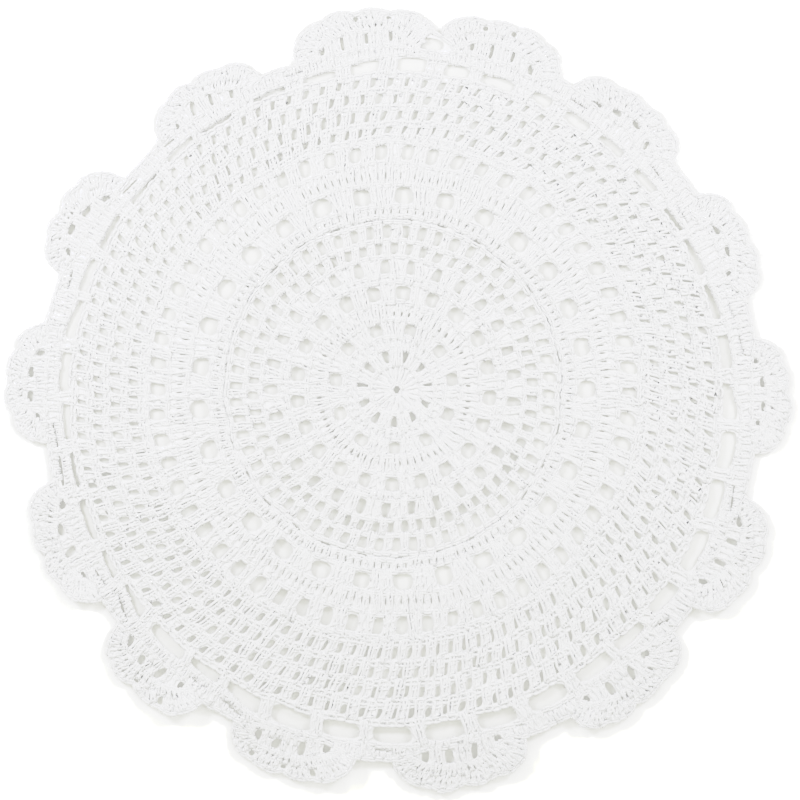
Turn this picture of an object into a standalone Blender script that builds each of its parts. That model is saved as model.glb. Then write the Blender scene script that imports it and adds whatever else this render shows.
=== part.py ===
"""Round lace doily, crocheted from one white cotton thread, lying flat.

The whole piece is one sheet: every stitch is looped into the ones around it, so it comes
off the hook as a single part. It is drawn here as its outline and its larger gaps, both
worked out from the rounds of the crochet, and raised to the thickness of the stitches.

Millimetres and degrees in the tables, metres in the model. +Z is up, +Y points away from
the maker, and the origin is under the middle of the sheet, on the table.
"""

import math
import random

import bpy

MM = 0.001

# ---- driving dimensions (mm) ----
SPREAD = 350.0          # widest reach of the edging, from side to side
THICKNESS = 2.0         # one layer of double crochet in a 1 mm thread
STITCH_SIDE = 3.4       # least width of worked stitches left between two gaps

# ---- the edging: a fan, or shell, for each row ----
# arch_deg    middle of the arch that the fan stands on
# start_deg   where the fan leaves the arch round
# end_deg     where it comes back to it
# reach       radius at the fan's crown
# valley      radius between this fan and the next
SHELLS = (
    # arch_deg, start_deg, end_deg, reach, valley
    (-1.6, -8.3, 9.6, 173.6, 160.0),
    (23.8, 16.6, 34.2, 171.6, 160.0),
    (47.9, 41.2, 60.6, 171.4, 158.6),
    (71.2, 64.0, 83.0, 173.8, 163.6),
    (95.2, 84.6, 106.8, 174.0, 155.2),
    (123.6, 113.2, 132.6, 168.8, 154.8),
    (151.1, 141.4, 159.2, 173.2, 159.0),
    (176.7, 168.2, 186.8, 173.6, 156.8),
    (203.0, 193.4, 213.8, 172.8, 158.4),
    (228.2, 218.6, 236.6, 174.8, 160.0),
    (252.9, 243.0, 262.8, 174.4, 160.4),
    (278.6, 269.4, 290.4, 174.0, 159.8),
    (305.6, 298.8, 319.6, 172.6, 159.6),
    (331.7, 325.4, 344.0, 175.8, 159.2),
)
SHELL_FULLNESS = 2.5     # 2 is an ellipse, more is boxier
SHELL_LOBES = 4          # scallops along the rim of one fan
LOBE_STEPS = 5           # points around one scallop
LOBE_HEIGHT = 2.0
ARCHES_PER_SHELL = 3
ARCH_SKEW = 0.7          # the edging's rounds sit this far to the left of the middle

# ---- the rounds with gaps, from the middle out ----
# count        gaps around the round
# radius       from the round's own middle to the middle of its gaps
# first_deg    where its first gap is
# length       of a gap along the radius
# width        of a gap around the round
# points       corners of a gap
# squareness   2 is an ellipse, more is boxier
# off_x off_y  how far the round's own middle has drifted in the making
ROUNDS = {
    # name: count, radius, first_deg, length, width, points, squareness, off_x, off_y
    "fan_gaps": (11, 26.9, 7.9, 5.4, 4.6, 6, 2.2, -2.0, 4.9),
    "star_gaps": (21, 43.6, 13.6, 5.4, 6.0, 6, 2.4, -2.2, 5.1),
    "ring_windows": (29, 85.4, 12.3, 8.2, 7.6, 8, 2.6, -2.5, 5.0),
    "ladder_gaps": (58, 104.4, 5.7, 7.0, 4.4, 6, 2.8, -2.5, 5.0),
    "inner_net": (58, 119.3, 3.2, 9.6, 5.6, 4, 2.0, -1.6, 2.8),
    "outer_net": (58, 135.0, 3.2, 9.6, 6.4, 4, 2.0, -1.5, 1.6),
}
ARCH_GAP = (149.0, 6.9, 14.2, 10, 3.4)    # radius, length, width, points, squareness
FAN_GAP = (160.2, 5.6, 2.8, 6, 2.4)       # the same, for the widest gap in a fan

# ---- unevenness of hand work ----
SEED = 7
SIZE_VARIATION = 0.08    # share of a gap's size
PLACE_VARIATION = 0.4    # mm
LEAN = 7.0               # degrees that a gap may lean off its radius

COTTON_WHITE = (0.86, 0.86, 0.85, 1.0)


def polar(radius, degrees, off_x=0.0, off_y=0.0):
    """Point at this radius and angle from a middle that is off by off_x and off_y."""
    turn = math.radians(degrees)
    return (off_x + radius * math.cos(turn), off_y + radius * math.sin(turn))


def signed_power(value, power):
    return math.copysign(abs(value) ** power, value)


def shell_points(shell, valley_before):
    """Points over one fan, from the valley before it to the valley after it."""
    _, start, end, reach, valley_after = shell
    steps = SHELL_LOBES * LOBE_STEPS
    points = []
    for step in range(steps + 1):
        turn = math.pi * step / steps
        along = 0.5 - 0.5 * signed_power(math.cos(turn), 2.0 / SHELL_FULLNESS)
        dome = math.sin(turn) ** (2.0 / SHELL_FULLNESS)
        valley = valley_before + (valley_after - valley_before) * along
        lobe = LOBE_HEIGHT * abs(math.sin(math.pi * SHELL_LOBES * along)) * dome
        radius = valley + (reach - LOBE_HEIGHT - valley) * dome + lobe
        points.append(polar(radius, start + (end - start) * along))
    return points


def outline_points():
    points = []
    valley_before = SHELLS[-1][-1]
    for shell in SHELLS:
        points += shell_points(shell, valley_before)
        valley_before = shell[-1]
    return points


def gap_points(radius, degrees, length, width, count, squareness, off_x, off_y, hand):
    """Corners of one gap: a rounded box, bent to its round and a little uneven."""
    radius += PLACE_VARIATION * hand.uniform(-1.0, 1.0)
    degrees += math.degrees(PLACE_VARIATION / radius) * hand.uniform(-1.0, 1.0)
    length *= 1.0 + SIZE_VARIATION * hand.uniform(-1.0, 1.0)
    width *= 1.0 + SIZE_VARIATION * hand.uniform(-1.0, 1.0)
    lean = math.tan(math.radians(LEAN * hand.uniform(-1.0, 0.3)))
    points = []
    for corner in range(count):
        turn = 2.0 * math.pi * (corner + 0.5) / count
        across = 0.5 * width * signed_power(math.cos(turn), 2.0 / squareness)
        out = 0.5 * length * signed_power(math.sin(turn), 2.0 / squareness)
        around = math.degrees((across + lean * out) / radius)
        points.append(polar(radius + out, degrees + around, off_x, off_y))
    return points


def round_gaps(hand):
    """Gaps of the rounds that repeat evenly."""
    gaps = []
    for count, radius, first, length, width, points, square, off_x, off_y in ROUNDS.values():
        pitch = 2.0 * math.pi * radius / count
        width = min(width, pitch - STITCH_SIDE)
        for step in range(count):
            degrees = first + 360.0 * step / count
            gaps.append(
                gap_points(radius, degrees, length, width, points, square, off_x, off_y, hand)
            )
    return gaps


def arch_gaps(hand):
    """Three long arches for each fan, spaced evenly from one fan's arch to the next."""
    radius, length, width, points, square = ARCH_GAP
    gaps = []
    for index, shell in enumerate(SHELLS):
        here = shell[0]
        beyond = SHELLS[(index + 1) % len(SHELLS)][0]
        step_deg = ((beyond - here) % 360.0) / ARCHES_PER_SHELL
        share = step_deg * len(SHELLS) * ARCHES_PER_SHELL / 360.0
        for step in range(ARCHES_PER_SHELL):
            degrees = here + step_deg * step
            gaps.append(
                gap_points(
                    radius, degrees, length, width * share, points, square, -ARCH_SKEW, 0.0, hand
                )
            )
    return gaps


def fan_gaps(hand):
    """The widest gap of each fan, just to one side of its middle."""
    radius, length, width, points, square = FAN_GAP
    gaps = []
    for _, start, end, _, _ in SHELLS:
        degrees = 0.55 * start + 0.45 * end
        gaps.append(
            gap_points(radius, degrees, length, width, points, square, -ARCH_SKEW, 0.0, hand)
        )
    return gaps


def centred(loops):
    """The loops, moved and scaled so that the first one spans SPREAD about the origin."""
    across = [x for x, _ in loops[0]]
    away = [y for _, y in loops[0]]
    middle_x = 0.5 * (min(across) + max(across))
    middle_y = 0.5 * (min(away) + max(away))
    scale = SPREAD / (max(across) - min(across))
    return [[((x - middle_x) * scale, (y - middle_y) * scale) for x, y in loop] for loop in loops]


def cotton():
    material = bpy.data.materials.new("white_cotton")
    material.use_nodes = True
    shader = material.node_tree.nodes["Principled BSDF"]
    shader.inputs["Base Color"].default_value = COTTON_WHITE
    shader.inputs["Roughness"].default_value = 0.85
    shader.inputs["Metallic"].default_value = 0.0
    return material


def make_sheet(name, loops):
    """A flat filled curve: the first loop is the outline and the others are the gaps."""
    curve = bpy.data.curves.new(name, "CURVE")
    curve.dimensions = "2D"
    curve.fill_mode = "BOTH"
    curve.extrude = 0.5 * THICKNESS * MM
    for loop in loops:
        spline = curve.splines.new("POLY")
        spline.points.add(len(loop) - 1)
        for point, (x, y) in zip(spline.points, loop):
            point.co = (x * MM, y * MM, 0.0, 1.0)
        spline.use_cyclic_u = True
    sheet = bpy.data.objects.new(name, curve)
    sheet.location.z = 0.5 * THICKNESS * MM
    curve.materials.append(cotton())
    bpy.context.collection.objects.link(sheet)
    return sheet


def main():
    for old in list(bpy.data.objects):
        bpy.data.objects.remove(old)
    hand = random.Random(SEED)
    loops = [outline_points()]
    loops += round_gaps(hand)
    loops += arch_gaps(hand)
    loops += fan_gaps(hand)
    make_sheet("doily", centred(loops))


main()
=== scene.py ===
# %% [markdown]
# # A round crocheted doily
# On the real object one long cotton thread is looped with a hook, round after round,
# from a small ring in the middle out to fourteen scalloped fans. Every stitch is the
# same few bends of thread, so it is drawn once as a bent line, laid down thousands of
# times by arithmetic on arrays, and swept into thread. A thin web hidden inside the
# thread is the cloth itself: it has the outline and the openings.

# %% Open the frame
import math

import bmesh
import bpy
import numpy as np
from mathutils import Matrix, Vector


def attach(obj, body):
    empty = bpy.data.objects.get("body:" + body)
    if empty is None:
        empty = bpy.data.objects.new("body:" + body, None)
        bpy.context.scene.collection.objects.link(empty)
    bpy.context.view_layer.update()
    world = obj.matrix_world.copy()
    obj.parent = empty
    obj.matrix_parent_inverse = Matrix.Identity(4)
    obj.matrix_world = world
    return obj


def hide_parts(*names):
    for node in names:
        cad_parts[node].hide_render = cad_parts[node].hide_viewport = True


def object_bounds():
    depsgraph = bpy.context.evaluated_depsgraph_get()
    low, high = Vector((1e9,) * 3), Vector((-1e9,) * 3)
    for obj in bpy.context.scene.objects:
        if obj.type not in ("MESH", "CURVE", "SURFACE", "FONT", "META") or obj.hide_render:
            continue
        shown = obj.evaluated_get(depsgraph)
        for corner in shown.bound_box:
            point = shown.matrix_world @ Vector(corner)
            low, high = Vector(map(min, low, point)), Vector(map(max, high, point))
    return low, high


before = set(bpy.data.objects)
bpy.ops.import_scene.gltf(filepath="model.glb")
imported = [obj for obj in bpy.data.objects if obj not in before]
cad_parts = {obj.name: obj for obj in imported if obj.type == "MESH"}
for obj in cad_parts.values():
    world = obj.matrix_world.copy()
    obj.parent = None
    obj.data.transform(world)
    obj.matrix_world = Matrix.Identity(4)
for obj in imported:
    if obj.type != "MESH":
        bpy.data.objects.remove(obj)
cad_low, cad_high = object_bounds()
MM = 0.001
print("CAD box in mm:", [round(v / MM, 1) for v in (cad_high - cad_low)])

# %% [markdown]
# ## Where the rounds lie
# Hand work drifts: each round is almost a circle, but its middle wanders a few
# millimetres as the thread is pulled tighter on one side. So a place on the doily is
# given as a radius and an angle, and one function turns that into a place on the table.

# %% The wandering middle of the rounds
MIDDLE_RADIUS = (0.0, 15.0, 27.0, 44.0, 62.0, 75.0, 104.0, 113.0, 119.0, 131.0, 139.0, 149.0, 158.0)
MIDDLE_RIGHT = (-0.4, -1.8, -2.0, -2.2, -2.4, -2.45, -2.45, -2.0, -1.6, -1.6, -1.4, -0.7, 0.0)
MIDDLE_UP = (4.5, 4.7, 4.9, 5.1, 5.1, 5.0, 5.0, 3.9, 2.8, 2.3, 0.9, 0.3, 0.0)
WANDER_MM = 0.32        # how far a stitch strays from its ideal place
WANDER_WAVES = 9
WANDER_LENGTHS = (14.0, 42.0)   # mm, the shortest and the longest wave
SEED = 7
hand = np.random.default_rng(SEED)
wander_turn = hand.uniform(0.0, 2.0 * math.pi, WANDER_WAVES)
wander_length = hand.uniform(*WANDER_LENGTHS, WANDER_WAVES)
wander_phase = hand.uniform(0.0, 2.0 * math.pi, (2, WANDER_WAVES))
print("the middle wanders up to", max(MIDDLE_UP), "mm, and stitches stray about", WANDER_MM, "mm")


def wander(x, y, which):
    """A slow unevenness of the work, in mm, for one of the two directions."""
    total = np.zeros_like(x)
    for turn, length, phase in zip(wander_turn, wander_length, wander_phase[which]):
        along = x * math.cos(turn) + y * math.sin(turn)
        total = total + np.sin(2.0 * math.pi * along / length + phase)
    return WANDER_MM * total / math.sqrt(WANDER_WAVES / 2.0)


def place(radius, degrees):
    """Points on the table, in mm, for radii and angles on the doily."""
    radius = np.asarray(radius, float)
    turn = np.radians(degrees)
    x = np.interp(radius, MIDDLE_RADIUS, MIDDLE_RIGHT) + radius * np.cos(turn)
    y = np.interp(radius, MIDDLE_RADIUS, MIDDLE_UP) + radius * np.sin(turn)
    return np.stack([x + wander(x, y, 0), y + wander(x, y, 1)], -1)


# %% [markdown]
# ## The fans of the edging
# Each of the fourteen fans is a little different in width and reach. The tables have one
# row for each: its span and reach, and the three notches between its four scallops.

# %% The fans
SHELLS = (
    # middle, start and end in degrees, radius of its reach and of the valley after it in mm
    (-1.6, -8.3, 9.6, 173.6, 160.0),
    (23.8, 16.6, 34.2, 171.6, 160.0),
    (47.9, 41.2, 60.6, 171.4, 158.6),
    (71.2, 64.0, 83.0, 173.8, 163.6),
    (95.2, 84.6, 106.8, 174.0, 155.2),
    (123.6, 113.2, 132.6, 168.8, 154.8),
    (151.1, 141.4, 159.2, 173.2, 159.0),
    (176.7, 168.2, 186.8, 173.6, 156.8),
    (203.0, 193.4, 213.8, 172.8, 158.4),
    (228.2, 218.6, 236.6, 174.8, 160.0),
    (252.9, 243.0, 262.8, 174.4, 160.4),
    (278.6, 269.4, 290.4, 174.0, 159.8),
    (305.6, 298.8, 319.6, 172.6, 159.6),
    (331.7, 325.4, 344.0, 175.8, 159.2),
)
NOTCHES = (
    # the three notches of each fan, in degrees
    (-3.9, 0.9, 5.6),
    (20.2, 24.4, 29.4),
    (45.4, 49.8, 54.9),
    (67.6, 72.2, 77.0),
    (91.4, 96.6, 101.6),
    (118.3, 123.1, 127.9),
    (146.2, 151.2, 155.6),
    (172.6, 177.4, 182.2),
    (198.6, 203.6, 208.4),
    (222.4, 227.0, 232.0),
    (247.0, 252.4, 257.5),
    (274.0, 279.7, 284.6),
    (302.8, 308.0, 313.4),
    (329.0, 334.2, 339.2),
)
OPEN_NOTCHES = (72.2, 77.0, 91.4, 96.6, 227.0, 232.0, 247.0, 252.4, 257.5)
SHELL_FULLNESS = 2.5    # 2 is half an ellipse, and more is nearer to a box
NOTCH_DEEP = 3.0        # mm
BRIDGED_SHARE = 0.8     # of that depth, where the last chain bridges an open notch
RIM_STEPS = 181
print(len(SHELLS), "fans with", len(OPEN_NOTCHES), "open notches")


# %% The outline that the fans make
def signed_power(value, power):
    return np.sign(value) * np.abs(value) ** power


def shell_rim(index, inset=0.0, notch=NOTCH_DEEP):
    """Radius and degrees along the rim of one fan, from valley to valley, in mm."""
    valley_before = SHELLS[index - 1][-1]
    _, start, end, reach, valley_after = SHELLS[index]
    turn = np.linspace(0.0, math.pi, RIM_STEPS)
    along = 0.5 - 0.5 * signed_power(np.cos(turn), 2.0 / SHELL_FULLNESS)
    dome = np.sin(turn) ** (2.0 / SHELL_FULLNESS)
    valley = valley_before + (valley_after - valley_before) * along
    degrees = start + (end - start) * along
    bounds = (start,) + NOTCHES[index] + (end,)
    lobe = np.abs(np.sin(math.pi * np.interp(degrees, bounds, range(len(bounds)))))
    depths = [notch * (BRIDGED_SHARE if bound in OPEN_NOTCHES else 1.0) for bound in bounds]
    deep = np.interp(degrees, bounds, depths)
    radius = valley + (reach - valley) * dome - deep * (1.0 - lobe**0.5) * dome**2 - inset
    side = np.degrees(inset / radius) * np.cos(turn) * dome ** 0.5
    return radius, degrees + side


def flat_polar(radius, degrees):
    turn = np.radians(degrees)
    return np.stack([radius * np.cos(turn), radius * np.sin(turn)], -1)


# %% The outline's size in the frame
outline = np.concatenate([flat_polar(*shell_rim(i)) for i in range(len(SHELLS))])
outline_low, outline_high = outline.min(0), outline.max(0)
frame_scale = (cad_high.x - cad_low.x) / MM / (outline_high[0] - outline_low[0])
frame_middle = 0.5 * (outline_low + outline_high)
print("outline in mm:", (outline_high - outline_low).round(1), "scale", round(frame_scale, 4))


def to_frame(points):
    """Chart millimetres to the frame's millimetres, about the middle of the outline."""
    return (points - frame_middle) * frame_scale


def measured(radius, degrees):
    """Chart millimetres of a place measured from the middle of the finished doily."""
    return flat_polar(np.asarray(radius, float), degrees) / frame_scale + frame_middle


# %% [markdown]
# ## The thread
# A bent line of points becomes thread when a small ring of five points is carried along
# it. All the copies of one bend are swept together, which keeps thousands of stitches
# quick. The map along each thread counts millimetres, so the twist of the yarn can be
# drawn on it later.

# %% Sweep many bent lines into thread at once
THREAD_RADIUS = 0.66    # mm
SIDES = 5
ANY_DIRECTION = (0.13, 0.31, 0.94)      # along which no thread runs
NO_LENGTH = 1e-12


def unit(vectors):
    return vectors / np.maximum(np.linalg.norm(vectors, axis=-1, keepdims=True), NO_LENGTH)


def sweep(paths, radius=THREAD_RADIUS):
    """Corners, faces and map of tubes round paths, an array of (copies, points, 3) in mm."""
    copies, points, _ = paths.shape
    ahead = unit(np.gradient(paths, axis=1))
    side = np.empty_like(paths)
    side[:, 0] = unit(np.cross(ahead[:, 0], ANY_DIRECTION))
    for i in range(1, points):
        carried = side[:, i - 1]
        flat = carried - (carried * ahead[:, i]).sum(-1, keepdims=True) * ahead[:, i]
        side[:, i] = unit(flat)
    up = np.cross(ahead, side)
    turn = 2.0 * math.pi * np.arange(SIDES) / SIDES
    ring = side[:, :, None] * np.cos(turn)[:, None] + up[:, :, None] * np.sin(turn)[:, None]
    corners = (paths[:, :, None] + radius * ring).reshape(-1, 3)

    first = np.arange(copies)[:, None] * points * SIDES
    low = first[:, None] + np.arange(points - 1)[:, None] * SIDES
    j = np.arange(SIDES)
    k = (j + 1) % SIDES
    quads = np.stack([low + j, low + k, low + SIDES + k, low + SIDES + j], -1).reshape(-1, 4)

    step = np.linalg.norm(np.diff(paths, axis=1), axis=-1)
    run = np.concatenate([np.zeros((copies, 1)), np.cumsum(step, axis=1)], axis=1)
    start, stop = run[:, :-1, None], run[:, 1:, None]
    low, high = j / SIDES, j / SIDES + 1.0 / SIDES
    map_corners = (start, low), (start, high), (stop, high), (stop, low)
    map_corners = [np.stack(np.broadcast_arrays(*pair), -1) for pair in map_corners]
    quad_map = np.stack(map_corners, -2).reshape(-1, 2)

    ends = np.concatenate([first + j[::-1], first + (points - 1) * SIDES + j])
    end_map = np.zeros((ends.size, 2))
    return corners, quads, quad_map, ends, end_map


# %% Join swept groups to one mesh
def joined_mesh(name, groups):
    """One mesh of several swept groups, given in mm."""
    corners, loops, starts, maps = [], [], [], []
    corner_count = loop_count = 0
    for group in groups:
        points, quads, quad_map, ends, end_map = sweep(*group)
        corners.append(points)
        for faces, face_map in ((quads, quad_map), (ends, end_map)):
            loops.append((faces + corner_count).ravel())
            starts.append(loop_count + np.arange(len(faces)) * faces.shape[1])
            maps.append(face_map)
            loop_count += faces.size
        corner_count += len(points)
    corners = np.concatenate(corners) * MM
    loops, starts, maps = np.concatenate(loops), np.concatenate(starts), np.concatenate(maps)
    mesh = bpy.data.meshes.new(name)
    mesh.vertices.add(len(corners))
    mesh.vertices.foreach_set("co", corners.astype(np.float32).ravel())
    mesh.loops.add(len(loops))
    mesh.loops.foreach_set("vertex_index", loops.astype(np.int32))
    mesh.polygons.add(len(starts))
    mesh.polygons.foreach_set("loop_start", starts.astype(np.int32))
    mesh.update(calc_edges=True)
    mesh.shade_smooth()
    layer = mesh.uv_layers.new(name="thread")
    layer.data.foreach_set("uv", maps.astype(np.float32).ravel())
    return mesh


# %% [markdown]
# ## How the doily lies
# It lies on the table, but not like paper: the work is a little wavy, some rounds stand
# higher than others, its edge stands off the table at the front, and the fans there lie
# down again but for one end that curls up. Cloth simulation could lay it down, but its
# folds can't be steered, so the height is a sum of slow waves and small tables instead.

# %% The height of the work above the table
WAVE_HEIGHT = 0.75      # mm, from the lowest to the highest of the slow waves
WAVE_LENGTHS = (23.0, 31.0, 37.0, 17.0)     # mm for each radian of the four waves
WAVES_SUM = 5.2         # twice the most that the waves add up to
EDGE_LIFTS = (
    # degrees, mm that the edge stands off the table there
    (0.0, 0.1), (17.0, 0.6), (28.0, 0.4), (40.0, 0.1), (90.0, 0.0), (168.0, 0.0),
    (176.0, 0.3), (186.0, 0.1), (196.0, 0.8), (210.0, 0.3), (220.0, 0.8), (235.0, 0.7),
    (250.0, 1.3), (270.0, 1.8), (290.0, 1.6), (300.0, 0.8), (315.0, 0.4), (345.0, 0.2),
)
EDGE_LIFT_FROM, EDGE_LIFT_TO = 126.0, 150.0     # mm radius
# for each fan, mm that it lies above the edge, or below it where the number is negative, and
# mm that one end curls up: its last end, anticlockwise, or its first where it is negative
FAN_LIFTS = (0.4, 0.4, 0.5, 0.5, 0.5, 0.5, 0.6, 0.5, 0.2, -0.2, -0.7, -0.8, 0.2, 0.4)
FAN_CURLS = (0.0, 0.0, 0.0, 0.0, 0.0, 0.0, 0.0, 1.4, 3.4, 6.0, 6.0, 3.4, -2.6, -2.8)
FAN_LIFT_FROM, FAN_LIFT_TO = 153.0, 166.0       # mm radius
FAN_LIFT_WIDE = 1.35    # half widths of a fan, from its middle to where its lift ends
FAN_LIFT_EASE = 0.5     # half widths over which it fades
ROUND_LIFTS = (
    # mm radius, mm that the rounds there stand off the table
    (0.0, 0.2), (32.0, 0.3), (41.0, 0.7), (54.0, 0.8), (61.0, 0.1),
    (74.0, 0.1), (83.0, 0.8), (92.0, 0.6), (104.0, 0.5), (116.0, 0.0),
)


def eased(share):
    """A share from 0 to 1 that starts and stops gently."""
    return share * share * (3.0 - 2.0 * share)


def lie(points):
    """Height in mm of the work's underside at these points of the frame, in mm."""
    x, y = points[..., 0], points[..., 1]
    across, along, aslant, shortest = WAVE_LENGTHS
    waves = (
        np.sin(x / across + 0.4) * np.cos(y / along)
        + np.sin((x - 0.7 * y) / aslant + 2.0)
        + 0.6 * np.cos((0.5 * x + y) / shortest)
    )
    slow = WAVE_HEIGHT * (0.5 + waves / WAVES_SUM)
    radius = np.hypot(x, y)
    degrees = np.degrees(np.arctan2(y, x)) % 360.0
    out = np.clip((radius - EDGE_LIFT_FROM) / (EDGE_LIFT_TO - EDGE_LIFT_FROM), 0.0, 1.0)
    lift = np.interp(degrees, *zip(*EDGE_LIFTS), period=360.0)
    height = slow + lift * eased(out) + np.interp(radius, *zip(*ROUND_LIFTS))
    out = np.clip((radius - FAN_LIFT_FROM) / (FAN_LIFT_TO - FAN_LIFT_FROM), 0.0, 1.0)
    for shell, lift, curl in zip(SHELLS, FAN_LIFTS, FAN_CURLS):
        half = 0.5 * (shell[2] - shell[1])
        off = ((degrees - 0.5 * (shell[1] + shell[2]) + 180.0) % 360.0 - 180.0) / half
        inside = np.clip(FAN_LIFT_WIDE - np.abs(off), 0.0, FAN_LIFT_EASE) / FAN_LIFT_EASE
        curled = lift + abs(curl) * np.clip(math.copysign(1.0, curl) * off, 0.0, 1.0) ** 2
        height = height + curled * out * eased(inside)
    return height


MIDDLE_OF_FANS = 165.0  # mm radius
rim_heights = lie(flat_polar(MIDDLE_OF_FANS, np.arange(360.0)))
print("the fans lie", rim_heights.min().round(1), "to", rim_heights.max().round(1), "mm above the table")

# %% [markdown]
# ## The bends of a stitch
# A double crochet stands on the chain of the round below. Its two legs come up through
# that chain and over its front, the thread winds round them once or twice, and a loop
# of chain closes the top. The same chain loop, alone, bridges the openings.

# %% The bends of a stitch and of a chain loop
STRAND = (
    # share of height, beyond mm, height mm
    (0.0, -1.30, 0.86),
    (0.0, 0.10, 1.20),
    (0.5, -0.30, 1.04),
    (1.0, -1.50, 1.00),
    (1.0, -0.05, 1.06),
)
SHORT_STRAND = (
    (0.0, -1.10, 0.86),
    (0.0, 0.0, 1.22),
    (0.50, 0.0, 1.10),
    (1.0, -0.2, 1.06),
)
SHORTEST_WRAPPED = 3.6  # mm, a stitch lower than this has no wrap
SWING = 0.22            # mm that a strand sways from side to side
CROSSED_SHARE = 0.85    # of the stitches, whose strands change places on the way up
OVER_STEP = 0.16        # mm that each strand lies above the one before it
STRAY = 0.19            # mm that each bend of a strand strays
SWING_NEXT = 2.4        # radians that each strand's swing is on from the one before it
SWING_RADIANS = 4.6     # that the swing turns over the height of a stitch
SWING_UP = 0.08         # mm that it goes up and down
STRAY_UP = 0.6          # share of STRAY that a bend strays up and down
WRAP_TURNS = 1.75
WRAP_STEPS = 7
WRAP_START = 0.375      # turns before the front
WRAP_STRAY = 0.6        # radians
WRAP_PRESSED = 0.8      # share of its radius that the wrap lies inside the stitch's side
WRAP_DEEP, WRAP_MIDDLE = 0.34, 1.02     # mm
WRAP_FROM, WRAP_TO = 0.16, 0.88         # share of the height
WRAP_RADIUS = 0.88 * THREAD_RADIUS
LINK = (
    # share of pitch, across mm, height mm
    (-0.62, -0.20, 0.98),
    (-0.36, -0.44, 1.16),
    (0.00, -0.58, 1.20),
    (0.36, -0.46, 1.14),
    (0.54, 0.00, 1.06),
    (0.32, 0.48, 1.14),
    (-0.12, 0.56, 1.20),
    (-0.62, 0.20, 0.98),
)
STITCH_WIDTH = 3.1      # mm, where a table says nothing else
PLACE_JITTER = 0.24     # mm
HEIGHT_JITTER = 0.10    # mm
WIDTH_JITTER = 0.07     # share
LEAST_OVER = 0.02       # mm that a strand at least keeps above the table


def raised(flat, height):
    """Points of the frame with their height over the lying work."""
    return np.concatenate([flat, (height + lie(flat))[..., None]], -1)


def unevenness(copies, fuller):
    """How wide each copy is, as a share, and how many mm higher it stands."""
    wide = fuller * (1.0 + WIDTH_JITTER * hand.normal(size=copies))
    return wide[:, None], HEIGHT_JITTER * hand.normal(size=copies)[:, None]


# %% The strands and the wrap of a stitch
def post_paths(base, top, strands=3, width=STITCH_WIDTH, narrow=1.0, fuller=1.0):
    """Strands and wraps of stitches that stand from base to top, both (copies, 2).

    width is across a stitch in mm, narrow is the share of it that the foot has, and
    fuller is how much wider each stitch is than that.
    """
    copies = len(base)
    base = base + hand.normal(0.0, PLACE_JITTER, base.shape)
    top = top + hand.normal(0.0, PLACE_JITTER, top.shape)
    tall = np.linalg.norm(top - base, axis=1)
    along = unit(top - base)
    across = np.stack([along[:, 1], -along[:, 0]], -1)
    wide, sink = unevenness(copies, fuller)
    short = float(np.median(tall)) < SHORTEST_WRAPPED

    def laid(x, out, z):
        share = np.clip(out / tall[:, None], 0.0, 1.0)
        x = x * wide * (narrow + (1.0 - narrow) * share)
        flat = base[:, None] + along[:, None] * out[..., None] + across[:, None] * x[..., None]
        return raised(flat, np.maximum(z + sink, THREAD_RADIUS + LEAST_OVER))

    bend = np.array(SHORT_STRAND if short else STRAND)
    out = bend[None, :, 0] * tall[:, None] + bend[None, :, 1]
    room = width - 2.0 * THREAD_RADIUS
    phase = hand.uniform(0.0, 2.0 * math.pi, copies)[:, None]
    ends = hand.random((copies, strands)).argsort(axis=1)
    if strands > 3:
        first = hand.integers(0, strands - 1, (copies, 1))
        order = np.arange(strands)[None, :]
        ends = np.where(order == first, first + 1, np.where(order == first + 1, first, order))
    ends = np.where(hand.random((copies, 1)) < CROSSED_SHARE, ends, np.arange(strands))
    paths = []
    for index in range(strands):
        share = np.clip(out / tall[:, None], 0.0, 1.0)
        slot = index + (ends[:, index, None] - index) * share
        turn = phase + SWING_NEXT * index + SWING_RADIANS * out / tall[:, None]
        x = room * (slot / (strands - 1) - 0.5) + SWING * np.sin(turn)
        x = x + STRAY * hand.normal(size=out.shape)
        over = OVER_STEP * (index - 0.5 * (strands - 1)) * 4.0 * share * (1.0 - share)
        z = bend[None, :, 2] + SWING_UP * np.cos(turn) + over
        z = z + STRAY_UP * STRAY * hand.normal(size=out.shape)
        paths.append(laid(x, out, z))
    groups = [(np.concatenate(paths), THREAD_RADIUS)]
    if not short:
        share = np.linspace(0.0, 1.0, WRAP_STEPS + 1)
        turn = 2.0 * math.pi * (WRAP_TURNS * share - WRAP_START)
        turn = turn + hand.uniform(-WRAP_STRAY, WRAP_STRAY, copies)[:, None]
        out = (WRAP_FROM + (WRAP_TO - WRAP_FROM) * share)[None, :] * tall[:, None]
        reach = 0.5 * width - WRAP_PRESSED * WRAP_RADIUS
        x = reach * np.sin(turn) + STRAY * hand.normal(size=out.shape)
        wrap = laid(x, out, WRAP_MIDDLE + WRAP_DEEP * np.cos(turn))
        groups.append((wrap, WRAP_RADIUS))
    return groups


# %% A chain loop
def link_paths(start, end, fuller=1.0):
    """Chain loops that lead from start to end, both (copies, 2)."""
    middle = 0.5 * (start + end) + hand.normal(0.0, PLACE_JITTER, start.shape)
    pitch = np.linalg.norm(end - start, axis=1)
    along = unit(end - start)
    across = np.stack([-along[:, 1], along[:, 0]], -1)
    wide, sink = unevenness(len(start), fuller)
    link = np.array(LINK)
    out = link[None, :, 0] * pitch[:, None]
    side = link[None, :, 1] * wide
    flat = middle[:, None] + along[:, None] * out[..., None] + across[:, None] * side[..., None]
    return [(raised(flat, link[None, :, 2] + sink), THREAD_RADIUS)]


# %% [markdown]
# ## The chart
# The rounds follow a chart, as a crocheter would read it: how many times the pattern
# repeats, where each stitch stands in one repeat, and how many chain loops close it. A
# table with a row for each round says it all, and one loop further down works them.

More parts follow.
